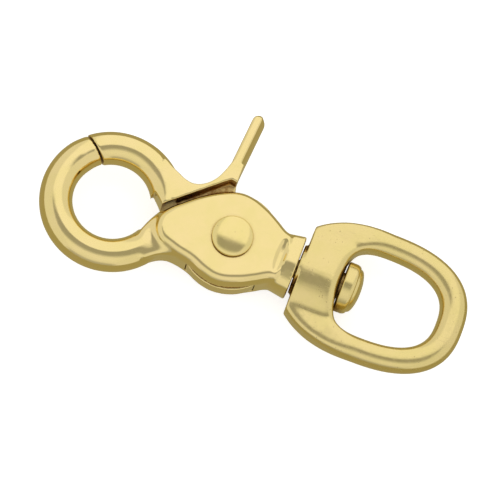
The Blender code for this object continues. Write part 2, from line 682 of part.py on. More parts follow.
for leftover in list(bpy.data.objects):
    bpy.data.objects.remove(leftover)
parts_collection = make_collection(COLLECTION_NAME)
cutter_collection = make_collection(COLLECTION_NAME + "_cutters", cutters=True)
pieces = {
    "hook_body": make_hook_body(parts_collection, cutter_collection),
    "trigger": make_trigger(parts_collection, cutter_collection),
    "pivot_rivet": make_rivet(parts_collection),
    "torsion_spring": make_spring(parts_collection),
    "swivel_eye": make_eye(parts_collection, cutter_collection),
    "swivel_pin": make_pin(parts_collection),
}
finishes = {
    "hook_body": brass("polished_body", (0.86, 0.66, 0.30), 0.16),
    "trigger": brass("polished_trigger", (0.86, 0.66, 0.30), 0.16),
    "pivot_rivet": brass("satin_rivet", (0.78, 0.66, 0.28), 0.35),
    "torsion_spring": brass("spring_wire", (0.62, 0.60, 0.56), 0.35),
    "swivel_eye": brass("satin_eye", (0.80, 0.64, 0.30), 0.32),
    "swivel_pin": brass("satin_pin", (0.80, 0.64, 0.30), 0.32),
}
for piece_name, piece in pieces.items():
    piece.data.materials.clear()
    piece.data.materials.append(finishes[piece_name])
pivot = bpy.data.objects.new("pivot", None)
parts_collection.objects.link(pivot)
for item in list(parts_collection.objects) + list(cutter_collection.objects):
    if item is not pivot:
        item.parent = pivot
pivot.location = origin_offset()
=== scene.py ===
import json
import math

import bpy
from mathutils import Matrix, Vector


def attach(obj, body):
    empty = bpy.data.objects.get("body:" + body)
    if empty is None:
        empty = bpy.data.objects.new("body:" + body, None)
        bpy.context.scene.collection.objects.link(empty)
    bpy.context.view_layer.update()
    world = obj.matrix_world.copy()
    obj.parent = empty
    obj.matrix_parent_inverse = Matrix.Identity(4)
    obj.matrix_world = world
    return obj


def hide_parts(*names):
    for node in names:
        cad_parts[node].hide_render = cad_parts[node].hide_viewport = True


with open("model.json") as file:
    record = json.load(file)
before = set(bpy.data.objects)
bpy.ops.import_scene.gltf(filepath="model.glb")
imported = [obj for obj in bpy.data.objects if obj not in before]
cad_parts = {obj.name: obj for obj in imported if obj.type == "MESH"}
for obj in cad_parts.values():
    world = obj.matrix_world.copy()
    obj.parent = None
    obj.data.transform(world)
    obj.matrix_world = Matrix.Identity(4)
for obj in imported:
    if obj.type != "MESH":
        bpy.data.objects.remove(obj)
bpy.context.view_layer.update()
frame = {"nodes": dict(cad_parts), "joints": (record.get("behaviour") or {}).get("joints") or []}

# Table, camera and light: a pale sheet under a soft overhead light, seen from steeply above
# with the hook laid slantwise. A dark screen round the lens shows in every crowned face.
pivot = Vector(next(j for j in frame["joints"] if j["name"] == "trigger_pivot")["pos_m"])
VIEW_TILT = math.radians(17.0)
VIEW_ROLL = math.radians(21.0)
VIEW_DISTANCE = 0.70
VIEW_CENTRE = pivot + Vector((0.0041, 0.0016, 0.0))
VIEW_WIDTH = 0.109194

across = Vector((1.0, 0.0, 0.0))
towards_lens = Vector((0.0, -math.sin(VIEW_TILT), math.cos(VIEW_TILT)))
upwards = towards_lens.cross(across)
right = math.cos(VIEW_ROLL) * across + math.sin(VIEW_ROLL) * upwards
up = math.cos(VIEW_ROLL) * upwards - math.sin(VIEW_ROLL) * across
camera_data = bpy.data.cameras.new("camera")
camera = bpy.data.objects.new("camera", camera_data)
bpy.context.scene.collection.objects.link(camera)
camera_data.lens = VIEW_DISTANCE * camera_data.sensor_width / VIEW_WIDTH
camera_data.clip_start = 0.01
turn = Matrix((right, up, towards_lens)).transposed().to_4x4()
camera.matrix_world = Matrix.Translation(VIEW_CENTRE + towards_lens * VIEW_DISTANCE) @ turn
bpy.context.scene.camera = camera
bpy.context.scene.view_settings.view_transform = "Standard"


class Socket:
    """A shader socket that adds and multiplies like a number."""

    def __init__(self, tree, source=None):
        self.tree = tree
        self.source = source

    def node(self, kind, settings=None, output=0, **inputs):
        """Adds a node, sets it up, feeds its sockets (i0, i1 ... or by name), and gives an output."""
        made = self.tree.nodes.new(kind)
        for key, value in (settings or {}).items():
            if key == "stops":
                ramp = made.color_ramp.elements
                while len(ramp) < len(value):
                    ramp.new(0.5)
                for stop, (place, colour) in zip(ramp, value):
                    stop.position = place
                    stop.color = (*colour, 1.0)
            else:
                setattr(made, key, value)
        for key, value in inputs.items():
            by_number = key[0] == "i" and key[1:].isdigit()
            target = made.inputs[int(key[1:])] if by_number else made.inputs[key.replace("_", " ")]
            if isinstance(value, Socket):
                self.tree.links.new(value.source, target)
            else:
                target.default_value = value
        return Socket(self.tree, made.outputs[output])

    def math(self, operation, other=0.0):
        return self.node("ShaderNodeMath", {"operation": operation}, i0=self, i1=other)

    def __add__(self, other):
        return self.math("ADD", other)

    __radd__ = __add__

    def __mul__(self, other):
        return self.math("MULTIPLY", other)

    __rmul__ = __mul__

    def __sub__(self, other):
        return self.math("SUBTRACT", other)

    def __rsub__(self, other):
        return self.node("ShaderNodeMath", {"operation": "SUBTRACT"}, i0=other, i1=self)

    def ease(self, start, end):
        """Soft step: 0 before start, 1 after end."""
        return self.node(
            "ShaderNodeMapRange", {"interpolation_type": "SMOOTHSTEP"}, i0=self, i1=start, i2=end)


# The tent is bright to both sides and dark overhead round the lens, where it ends in one sharp edge.
# The levels run by tilt across the view, from the near horizon over the top to the far one.
TENT_LEVELS = [
    (-90.0, 0.44), (-79.0, 0.50), (-66.0, 0.80), (-45.0, 0.87), (-30.0, 0.83), (-20.0, 0.63),
    (-12.0, 0.40), (6.5, 0.38), (12.5, 1.0)]
SIDE_EDGE = (0.38, 0.52)
SIDE_LEVEL = 0.80
HORIZON_EDGE = (-0.02, 0.05)
BELOW_COLOUR = (0.40, 0.36, 0.21)
world = bpy.data.worlds.new("tent")
bpy.context.scene.world = world
world.use_nodes = True
tent = Socket(world.node_tree)
heading = tent.node("ShaderNodeTexCoord")
sideways = tent.node("ShaderNodeSeparateXYZ", output=0, i0=heading)
lengthways = tent.node("ShaderNodeSeparateXYZ", output=1, i0=heading)
overhead = tent.node("ShaderNodeSeparateXYZ", output=2, i0=heading)
tilt = lengthways.math("ARCTAN2", overhead.math("MAXIMUM", 0.0001))
tilt_share = tilt * (1.0 / math.pi) + 0.5
canopy = tent.node("ShaderNodeValToRGB", {"stops": [
    ((angle + 90.0) / 180.0, (level, level, level)) for angle, level in TENT_LEVELS]}, Fac=tilt_share)
aside = sideways.math("ABSOLUTE").ease(*SIDE_EDGE)
canopy = tent.node(
    "ShaderNodeMix", {"data_type": "RGBA"}, output=2, i0=aside, i6=canopy,
    i7=(SIDE_LEVEL, SIDE_LEVEL, SIDE_LEVEL, 1.0))
glow = tent.node(
    "ShaderNodeMix", {"data_type": "RGBA"}, output=2, i0=overhead.ease(*HORIZON_EDGE),
    i6=(*BELOW_COLOUR, 1.0), i7=canopy)
sky = world.node_tree.nodes["Background"]
world.node_tree.links.new(glow.source, sky.inputs["Color"])

for other in list(bpy.context.selected_objects):
    other.select_set(False)
bpy.ops.mesh.primitive_plane_add(size=6.0, location=(0.0, 0.0, -0.0002))
table = bpy.context.object
table.name = "table"
table.visible_glossy = False
table_paper = bpy.data.materials.new("table_paper")
table_paper.use_nodes = True
paper = table_paper.node_tree.nodes["Principled BSDF"]
paper.inputs["Base Color"].default_value = (0.70, 0.70, 0.70, 1.0)
paper.inputs["Roughness"].default_value = 1.0
paper.inputs["Specular IOR Level"].default_value = 0.0
paper.inputs["Emission Color"].default_value = (1.0, 1.0, 1.0, 1.0)
paper.inputs["Emission Strength"].default_value = 0.72
table.data.materials.append(table_paper)

# Hook body: one brass casting, polished after tumbling. Cheek plates, neck, root web and fixed
# arc are cast together; the slot is cored, and the rivet and pin holes are drilled.
GAP = 0.0003
HUB_CLEARANCE = 0.00014
CASTING_GRAIN = 0.00026
WELD_DISTANCE = 0.000005
SOFTEN_PASSES = 3
OVERRUN = 0.003
STOCK_RADIUS = 0.00365
RING_RADIUS = 0.0122
RING_CENTRE = Vector((-0.02735, -0.0008, 0.0))
JOINT_ANGLE = math.radians(128.0)
JOINT_LEAN = math.radians(12.0)
JOINT_OVERLAP = math.radians(17.0)
TIP_TAPER = 0.94
ARC_END_ANGLE = math.radians(334.0)
CHEEK_HALF_THICKNESS = 0.00525
CHEEK_HALF_WIDTH = 0.0108
CHEEK_ROLL = 0.0020
CHEEK_ROLL_DROP = 0.0029
ROLL_STEPS = 8
CHEEK_FRONT_X = -0.0169
NECK_START_X = 0.0120
NECK_TAPER_X = 0.0100
NECK_TAPER = 0.88
NECK_END_X = 0.0153
NECK_HALF_WIDTH = 0.0065
NECK_CROWN_HALF_HEIGHT = 0.0059
NECK_SIDE_HALF_HEIGHT = 0.0043
NECK_CORNER_HEIGHT = 0.0008
NECK_CORNER_WIDTH = 0.00064
SLOT_HALF_THICKNESS = 0.0023
SLOT_FRONT_X = -0.0150
SLOT_FRONT_Y = 0.0006
SLOT_MOUTH_DEGREES = 60.0
SLOT_SWEEP_DEGREES = 230.0
SLOT_STEPS = 39
ROOT_HALF_THICKNESS = 0.0035
ROOT_EDGE_RADIUS = 0.0016
ROOT_DEPTH = 0.8 * STOCK_RADIUS
ROOT_HEEL_REACH = 1.2 * STOCK_RADIUS
ROOT_NOSE_ANGLE = math.radians(349.0)
ROOT_INNER_ANGLE = math.radians(330.0)
ROOT_OUTER_ANGLE = math.radians(316.0)
ROOT_HEEL_ANGLE = math.radians(332.0)
HUB_RADIUS = 0.0111
RIVET_SHANK_RADIUS = 0.0022
TENON_RADIUS = 0.0021


def clear_selection():
    """Nothing selected, so that the next operator acts on what it is given alone."""
    for other in list(bpy.context.selected_objects):
        other.select_set(False)


def take(piece):
    """Makes a piece the only selected and the active one."""
    clear_selection()
    piece.select_set(True)
    bpy.context.view_layer.objects.active = piece


def settle(piece):
    """Puts a piece's place into its mesh."""
    take(piece)
    bpy.ops.object.transform_apply(location=True, rotation=True, scale=True)
    return piece


def apply_modifiers(piece):
    """Applies every modifier in order."""
    take(piece)
    for modifier in list(piece.modifiers):
        bpy.ops.object.modifier_apply(modifier=modifier.name)


def outline_blank(name, points, half_thickness, edge_radius, matrix=None):
    """Flat blank sawn to an outline, its edges rounded over; AUTO points are smooth ones."""
    curve = bpy.data.curves.new(name, "CURVE")
    curve.dimensions = "2D"
    curve.fill_mode = "BOTH"
    curve.resolution_u = 8
    curve.extrude = half_thickness
    spline = curve.splines.new("BEZIER")
    spline.bezier_points.add(len(points) - 1)
    for knot, (x, y, handle) in zip(spline.bezier_points, points):
        knot.co = (x, y, 0.0)
        knot.handle_left_type = handle
        knot.handle_right_type = handle
    spline.use_cyclic_u = True
    blank = bpy.data.objects.new(name, curve)
    bpy.context.scene.collection.objects.link(blank)
    if matrix is not None:
        blank.matrix_world = matrix
    take(blank)
    bpy.ops.object.convert(target="MESH")
    blank = bpy.context.object
    settle(blank)
    weld(blank)
    if edge_radius > 0.0:
        rounding = blank.modifiers.new("rounding", "BEVEL")
        rounding.width = edge_radius
        rounding.segments = 6
        rounding.limit_method = "ANGLE"
        rounding.angle_limit = math.radians(50.0)
        apply_modifiers(blank)
    return blank


def roll_edges(blank, inward_reach, upward_reach):
    """Draws both faces of a corner-free blank inwards and outwards in steps, for a rolled edge."""
    take(blank)
    bpy.ops.object.mode_set(mode="EDIT")
    bpy.ops.mesh.select_mode(type="FACE")
    bpy.ops.mesh.select_all(action="DESELECT")
    bpy.ops.object.mode_set(mode="OBJECT")
    for face in blank.data.polygons:
        face.select = abs(face.normal.z) > 0.9
    bpy.ops.object.mode_set(mode="EDIT")
    bpy.ops.mesh.dissolve_faces()
    inward, upward = 0.0, 0.0
    for i in range(1, ROLL_STEPS + 1):
        lift = math.radians(90.0 * i / ROLL_STEPS)
        next_inward = inward_reach * (1.0 - math.cos(lift))
        next_upward = upward_reach * math.sin(lift)
        bpy.ops.mesh.inset(thickness=next_inward - inward, depth=next_upward - upward)
        inward, upward = next_inward, next_upward
    bpy.ops.mesh.select_mode(type="VERT")
    bpy.ops.object.mode_set(mode="OBJECT")


def weld(piece):
    """Closes seams and turns all faces outwards."""
    take(piece)
    bpy.ops.object.mode_set(mode="EDIT")
    bpy.ops.mesh.select_all(action="SELECT")
    bpy.ops.mesh.remove_doubles(threshold=WELD_DISTANCE)
    bpy.ops.mesh.normals_make_consistent(inside=False)
    bpy.ops.object.mode_set(mode="OBJECT")


def rod(name, radius, start, end, vertices=64):
    """Round rod between two points of its axis, for drills, shafts and bosses."""
    clear_selection()
    start = Vector(start)
    end = Vector(end)
    axis = end - start
    bpy.ops.mesh.primitive_cylinder_add(vertices=vertices, radius=radius, depth=axis.length)
    piece = bpy.context.object
    piece.name = name
    along_axis = axis.to_track_quat("Z", "Y").to_matrix().to_4x4()
    piece.matrix_world = Matrix.Translation((start + end) / 2) @ along_axis
    return settle(piece)


def join_or_cut(target, tools, operation):
    """Joins the tools to the target or cuts them from it, and clears them away."""
    for tool in tools:
        step = target.modifiers.new(tool.name, "BOOLEAN")
        step.operation = operation
        step.solver = "EXACT"
        step.object = tool
        apply_modifiers(target)
        bpy.data.objects.remove(tool)


def fuse(target, pieces):
    """Runs overlapping blanks together into one skin."""
    take(target)
    for piece in pieces:
        piece.select_set(True)
    bpy.ops.object.join()
    skin = target.modifiers.new("skin", "REMESH")
    skin.mode = "VOXEL"
    skin.voxel_size = CASTING_GRAIN
    apply_modifiers(target)


def on_ring(angle, radius=RING_RADIUS):
    """Point of the ring's plane at an angle about its centre."""
    return RING_CENTRE + Vector((radius * math.cos(angle), radius * math.sin(angle), 0.0))


def ring_sector(name, start, end, tip_factor=1.0):
    """Round stock bent through part of the ring, drawn thinner towards the joint."""
    clear_selection()
    bpy.ops.mesh.primitive_circle_add(vertices=48, radius=STOCK_RADIUS)
    piece = bpy.context.object
    piece.name = name
    stand = Matrix.Rotation(math.radians(90.0), 4, "X")
    piece.matrix_world = Matrix.Translation(on_ring(start)) @ Matrix.Rotation(start, 4, "Z") @ stand
    settle(piece)
    bpy.ops.object.mode_set(mode="EDIT")
    bpy.ops.mesh.select_all(action="SELECT")
    bpy.ops.mesh.spin(steps=72, angle=start - end, center=RING_CENTRE, axis=(0.0, 0.0, 1.0))
    bpy.ops.mesh.select_all(action="SELECT")
    bpy.ops.mesh.remove_doubles(threshold=WELD_DISTANCE)
    bpy.ops.mesh.fill_holes(sides=0)
    bpy.ops.mesh.normals_make_consistent(inside=False)
    bpy.ops.object.mode_set(mode="OBJECT")
    for vertex in piece.data.vertices:
        radial = Vector((vertex.co.x - RING_CENTRE.x, vertex.co.y - RING_CENTRE.y, 0.0))
        angle = math.atan2(radial.y, radial.x) % math.tau
        share = min(max((angle - JOINT_ANGLE) / JOINT_OVERLAP, 0.0), 1.0)
        factor = tip_factor + (1.0 - tip_factor) * share
        centre = RING_CENTRE + radial.normalized() * RING_RADIUS
        vertex.co = centre + (vertex.co - centre) * factor
    return piece


def joint_block(covers_trigger_side):
    """Block that trims a ring sector to the leaning joint."""
    reach = STOCK_RADIUS * 3
    outward = JOINT_ANGLE + JOINT_LEAN
    side = Vector((math.sin(outward), -math.cos(outward), 0.0))
    if not covers_trigger_side:
        side = -side
    clear_selection()
    bpy.ops.mesh.primitive_cube_add(size=2 * reach)
    block = bpy.context.object
    block.name = "joint_block"
    block.matrix_world = (
        Matrix.Translation(on_ring(JOINT_ANGLE) + side * (reach - GAP / 2))
        @ Matrix.Rotation(outward, 4, "Z"))
    return settle(block)


def cast_surface(piece, grain, passes, fillet_zone=None, fillet_passes=30):
    """Turns joined blanks into one casting: an even skin, softened edges and filleted roots."""
    remesh = piece.modifiers.new("skin", "REMESH")
    remesh.mode = "VOXEL"
    remesh.voxel_size = grain
    remesh.use_smooth_shade = True
    apply_modifiers(piece)
    if fillet_zone is not None:
        group = piece.vertex_groups.new(name="fillet")
        for vertex in piece.data.vertices:
            share = fillet_zone(vertex.co)
            if share > 0.0:
                group.add([vertex.index], min(share, 1.0), "REPLACE")
        fillet = piece.modifiers.new("fillet", "SMOOTH")
        fillet.factor = 0.5
        fillet.iterations = fillet_passes
        fillet.vertex_group = "fillet"
        apply_modifiers(piece)
        piece.vertex_groups.clear()
    soften = piece.modifiers.new("soften", "SMOOTH")
    soften.factor = 0.5
    soften.iterations = passes
    apply_modifiers(piece)
    take(piece)
    bpy.ops.object.shade_smooth()


def place_at_pivot(piece):
    """Moves a finished casting, drawn about the rivet, to the rivet's place."""
    piece.location = pivot
    return settle(piece)


def mirrored_rear(points):
    """The same rear outline on the other side of the swivel axis."""
    return [(x, -y, kind) for x, y, kind in reversed(points)]


flare = CHEEK_HALF_WIDTH - NECK_HALF_WIDTH
cheek_end = [(NECK_START_X * a, NECK_HALF_WIDTH * b, "AUTO") for a, b in (
    (1.20, 0.0), (1.16, 0.50), (1.05, 0.85))]
cheek_rear = cheek_end[1:] + [
    (NECK_START_X * a, NECK_HALF_WIDTH + flare * b, "AUTO") for a, b in (
        (0.88, -0.05), (0.71, 0.24), (0.38, 0.72), (0.0, 1.0))]
cheek_front = [(CHEEK_FRONT_X * a, CHEEK_HALF_WIDTH * b, "AUTO") for a, b in (
    (0.17, 0.965), (0.31, 0.875), (0.55, 0.64), (0.78, 0.34),
    (0.93, 0.10), (1.0, -0.12), (0.925, -0.53), (0.68, -0.715), (0.41, -0.815), (0.20, -0.945))]
hook_body = outline_blank(
    "hook_casting", cheek_rear + cheek_front + mirrored_rear(cheek_rear) + cheek_end[:1],
    CHEEK_HALF_THICKNESS - CHEEK_ROLL_DROP, 0.0)
roll_edges(hook_body, CHEEK_ROLL, CHEEK_ROLL_DROP)

side_height = NECK_SIDE_HALF_HEIGHT
crown_knee = (side_height + 2 * NECK_CROWN_HALF_HEIGHT) / 3
neck_quarter = [
    (NECK_HALF_WIDTH, side_height - NECK_CORNER_HEIGHT, "AUTO"),
    (NECK_HALF_WIDTH - NECK_CORNER_WIDTH, side_height, "AUTO"),
    (NECK_HALF_WIDTH / 2, crown_knee, "AUTO")]
neck_upper = neck_quarter + [(0.0, NECK_CROWN_HALF_HEIGHT, "AUTO")] + [
    (-x, y, kind) for x, y, kind in reversed(neck_quarter)]
neck_half_length = (NECK_END_X - NECK_TAPER_X) / 2
stand_across = Matrix(((0, 0, 1, 0), (1, 0, 0, 0), (0, 1, 0, 0), (0, 0, 0, 1)))
neck = outline_blank(
    "neck", neck_upper + [(-x, -y, kind) for x, y, kind in neck_upper], neck_half_length, 0.0,
    Matrix.Translation((NECK_TAPER_X + neck_half_length, 0.0, 0.0)) @ stand_across)
for vertex in neck.data.vertices:
    if vertex.co.x < NECK_START_X:
        vertex.co.y *= NECK_TAPER
        vertex.co.z *= NECK_TAPER

root_nose = on_ring(ROOT_NOSE_ANGLE, RING_RADIUS - ROOT_DEPTH)
root_inner = on_ring(ROOT_INNER_ANGLE, RING_RADIUS - ROOT_DEPTH)
root_outer = on_ring(ROOT_OUTER_ANGLE, RING_RADIUS + ROOT_DEPTH)
root_heel = on_ring(ROOT_HEEL_ANGLE, RING_RADIUS + ROOT_HEEL_REACH)
root_web = outline_blank("root_web", [
    (0.985 * CHEEK_FRONT_X, 0.05 * CHEEK_HALF_WIDTH, "VECTOR"), (root_nose.x, root_nose.y, "AUTO"),
    (root_inner.x, root_inner.y, "VECTOR"), (root_outer.x, root_outer.y, "VECTOR"),
    (root_heel.x, root_heel.y, "AUTO"), (0.47 * CHEEK_FRONT_X, -0.74 * CHEEK_HALF_WIDTH, "VECTOR"),
    (0.53 * CHEEK_FRONT_X, 0.0, "VECTOR")], ROOT_HALF_THICKNESS, ROOT_EDGE_RADIUS)

fixed_arc = ring_sector("fixed_arc", JOINT_ANGLE - JOINT_OVERLAP, ARC_END_ANGLE, TIP_TAPER)
join_or_cut(fixed_arc, [joint_block(True)], "DIFFERENCE")
fuse(hook_body, [root_web, fixed_arc, neck])

slot_reach = HUB_RADIUS + HUB_CLEARANCE
slot_points = []
for i in range(SLOT_STEPS + 1):
    angle = math.radians(SLOT_MOUTH_DEGREES - SLOT_SWEEP_DEGREES * i / SLOT_STEPS)
    slot_points.append((slot_reach * math.cos(angle), slot_reach * math.sin(angle), "VECTOR"))
slot_points += [
    (SLOT_FRONT_X, SLOT_FRONT_Y, "VECTOR"), (SLOT_FRONT_X, CHEEK_HALF_WIDTH + OVERRUN, "VECTOR"),
    (slot_points[0][0], CHEEK_HALF_WIDTH + OVERRUN, "VECTOR")]
slot = outline_blank("slot", slot_points, SLOT_HALF_THICKNESS, 0.0)
rivet_reach = CHEEK_HALF_THICKNESS + OVERRUN
rivet_hole = rod("rivet_hole", RIVET_SHANK_RADIUS + GAP, (0, 0, -rivet_reach), (0, 0, rivet_reach))
tenon_hole = rod(
    "tenon_hole", TENON_RADIUS + GAP, (HUB_RADIUS - OVERRUN, 0, 0), (NECK_END_X + OVERRUN, 0, 0))
join_or_cut(hook_body, [slot, rivet_hole, tenon_hole], "DIFFERENCE")

SCOOP_HALF_SIZE = (0.00125, 0.0047, 0.0009)
SCOOP_SETBACK = 0.0008
SCOOP_LIFT = 0.0004


def scoop(side):
    """Shallow scoop across a cheek, where its flat runs out against the crowned neck."""
    clear_selection()
    bpy.ops.mesh.primitive_uv_sphere_add(segments=48, ring_count=24, radius=1.0)
    piece = bpy.context.object
    piece.name = "scoop"
    piece.scale = SCOOP_HALF_SIZE
    piece.location = (
        NECK_START_X - SCOOP_SETBACK, 0.0, side * (CHEEK_HALF_THICKNESS + SCOOP_LIFT))
    return settle(piece)


join_or_cut(hook_body, [scoop(1.0), scoop(-1.0)], "DIFFERENCE")

ROOT_FILLET_REAR = (-0.0098, -0.0118)
ROOT_FILLET_FRONT = (-0.0235, -0.0195)
ROOT_FILLET_TOP = (CHEEK_HALF_THICKNESS - 0.0006, CHEEK_HALF_THICKNESS - 0.0018)
ROOT_FILLET_SLOT = (SLOT_HALF_THICKNESS + 0.0002, SLOT_HALF_THICKNESS + 0.0007)
ROOT_FILLET_PASSES = 110


def share_between(value, start, end):
    """0 at start, 1 at end, and in proportion between them."""
    return max(0.0, min(1.0, (value - start) / (end - start)))


def root_fillet(place):
    """How strongly the casting's root is filleted at a place: most where the arc meets the cheeks."""
    level = abs(place.z)
    along = share_between(place.x, *ROOT_FILLET_REAR) * share_between(place.x, *ROOT_FILLET_FRONT)
    return along * share_between(level, *ROOT_FILLET_TOP) * share_between(level, *ROOT_FILLET_SLOT)


cast_surface(hook_body, CASTING_GRAIN, SOFTEN_PASSES, root_fillet, ROOT_FILLET_PASSES)
place_at_pivot(hook_body)


def brass_finish(name, metal, tarnish_and_shade_colour, roughness, waviness, pitting):
    """Solid brass: metal colour with cloudy tints, fine pits and polishing scratches; creases, recesses and
    gaps between parts are darkened towards tarnish brown by ambient occlusion, partly real tarnish in the
    hollows and partly painted shade.
    """
    material = bpy.data.materials.new(name)
    material.use_nodes = True
    shader = material.node_tree.nodes["Principled BSDF"]
    shader.inputs["Metallic"].default_value = 1.0
    start = Socket(material.node_tree)
    place = start.node("ShaderNodeTexCoord", output=3)

    cloud = start.node("ShaderNodeTexNoise", Vector=place, Scale=170.0, Detail=4.0, Roughness=0.6)
    mottle = start.node("ShaderNodeTexNoise", Vector=place, Scale=1100.0, Detail=5.0, Roughness=0.65)
    ripple = start.node("ShaderNodeTexNoise", Vector=place, Scale=330.0, Detail=2.0, Roughness=0.5)
    # Painted shade: ambient occlusion marks creases, recesses and the gaps between parts, partly real
    # tarnish in the hollows and partly painted shade.
    tarnish_and_shade_mask = start.node(
        "ShaderNodeAmbientOcclusion", {"only_local": False, "samples": 8}, output=1, Distance=0.0040)
    tarnish_and_shade_mask = 1.0 - tarnish_and_shade_mask.ease(0.30, 0.85)

    cells = start.node("ShaderNodeTexVoronoi", Vector=place, Scale=1500.0)
    chance = start.node("ShaderNodeTexVoronoi", output=1, Vector=place, Scale=1500.0)
    chance = start.node("ShaderNodeSeparateColor", output=0, i0=chance)
    pits = (1.0 - cells.ease(0.06, 0.24)) * chance.ease(1.0 - pitting, 1.05 - pitting)

    lines = Socket(material.node_tree)
    scratches = None
    for turn in (23.0, -48.0, 81.0):
        laid = lines.node(
            "ShaderNodeMapping", Vector=place, Rotation=(0.0, 0.0, math.radians(turn)),
            Scale=(90.0, 5200.0, 900.0))
        line = lines.node("ShaderNodeTexNoise", Vector=laid, Scale=1.0, Detail=2.0, Roughness=0.5)
        line = line.ease(0.66, 0.76)
        scratches = line if scratches is None else scratches.math("MAXIMUM", line)

    tint = start.node(
        "ShaderNodeMix", {"data_type": "RGBA"}, output=2, i0=cloud.ease(0.30, 0.70),
        i6=(*metal, 1.0), i7=(metal[0] * 0.965, metal[1] * 0.985, metal[2] * 0.90, 1.0))
    # The occluded hollows are mixed towards tarnish brown: partly real tarnish, partly painted shade.
    tarnish_and_shade_mix = (mottle.ease(0.35, 0.75) * 0.5 + 0.6) * tarnish_and_shade_mask
    colour = start.node(
        "ShaderNodeMix", {"data_type": "RGBA"}, output=2, i0=tarnish_and_shade_mix.math("MINIMUM", 1.0), i6=tint,
        i7=(*tarnish_and_shade_colour, 1.0))
    colour = start.node(
        "ShaderNodeMix", {"data_type": "RGBA"}, output=2, i0=pits * 0.5, i6=colour,
        i7=(tarnish_and_shade_colour[0] * 0.6, tarnish_and_shade_colour[1] * 0.6, tarnish_and_shade_colour[2] * 0.6, 1.0))
    rough = roughness + (mottle.ease(0.35, 0.70) - 0.5) * (roughness * 0.5) + scratches * 0.10
    rough = (rough + tarnish_and_shade_mask * 0.22 + pits * 0.25).math("MAXIMUM", 0.03)
    relief = ripple * waviness + mottle * (waviness * 0.06) - pits * 0.000012 - scratches * 0.0000012
    bump = start.node("ShaderNodeBump", Height=relief, Strength=1.0, Distance=1.0)
    tree = material.node_tree
    tree.links.new(colour.source, shader.inputs["Base Color"])
    tree.links.new(rough.source, shader.inputs["Roughness"])
    tree.links.new(bump.source, shader.inputs["Normal"])
    return material


def dress(piece, material):
    """Gives a piece one material all over."""
    piece.data.materials.clear()
    piece.data.materials.append(material)


polished_brass = brass_finish(
    "polished_brass", (0.93, 0.745, 0.34), (0.30, 0.13, 0.03), 0.11, 0.000010, 0.02)
dress(hook_body, polished_brass)
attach(hook_body, "hook")
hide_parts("hook_body")

# Trigger: a second brass casting, polished like the body. Its hub turns on the rivet between the
# cheeks, its jaw closes the ring, and its thumb lever stands up from the arm.
TRIGGER_ARC_END = math.radians(8.0)
WEB_HALF_THICKNESS = 0.0006
UNDERSIDE_FRONT = Vector((-0.0168, 0.0019, 0.0))
UNDERSIDE_SLOPE = 0.895
JAW_HALF_THICKNESS = 0.00365
JAW_EDGE_RADIUS = 0.0013
LEVER_TIP_Y = 0.0292
LEVER_FOOT_X = -0.00475
LEVER_HALF_WIDTH = 0.00155
LEVER_LEAN = 0.0012
LEVER_FOOT_Y = 0.0135
LEVER_CROWN = 0.0016
SPRING_COIL_RADIUS = 0.0040
SPRING_WIRE_RADIUS = 0.00035
SPRING_LEG = 0.0030
POCKET_FLOOR = 0.0008
JAW_TOP_ANGLE = math.radians(60.0)
JAW_TOP_REACH = 0.7 * STOCK_RADIUS
JAW_SIDE_ANGLE = math.radians(55.0)
JAW_LOW_ANGLE = math.radians(28.0)
hub_half = SLOT_HALF_THICKNESS - GAP
trigger = rod("trigger_casting", HUB_RADIUS, (0, 0, -hub_half), (0, 0, hub_half), 128)


def underside_y(x):
    """Height of the arm's straight underside at x."""
    return UNDERSIDE_FRONT.y + (x - UNDERSIDE_FRONT.x) * UNDERSIDE_SLOPE


web_front = SLOT_FRONT_X + 4 * GAP
lever_right = LEVER_FOOT_X + LEVER_HALF_WIDTH
lever_left = LEVER_FOOT_X - LEVER_HALF_WIDTH
web_low = LEVER_FOOT_Y - 0.6 * LEVER_HALF_WIDTH
web = outline_blank("web", [
    (web_front, underside_y(web_front) - 3 * GAP, "VECTOR"),
    (-0.86 * HUB_RADIUS, -0.27 * HUB_RADIUS, "VECTOR"),
    (0.0, 0.0, "VECTOR"), (lever_right, web_low, "VECTOR"), (lever_left, web_low, "VECTOR"),
    (web_front, underside_y(web_front) + 8 * GAP, "VECTOR")], WEB_HALF_THICKNESS, 0.0)
jaw_top = on_ring(JAW_TOP_ANGLE, RING_RADIUS + JAW_TOP_REACH)
jaw_side = on_ring(JAW_SIDE_ANGLE)
jaw_low = on_ring(JAW_LOW_ANGLE)
arm_front = UNDERSIDE_FRONT.x + 0.5 * STOCK_RADIUS
lever_base = LEVER_FOOT_Y - 0.7 * LEVER_HALF_WIDTH
lever_neck = LEVER_FOOT_Y + 2.2 * LEVER_HALF_WIDTH
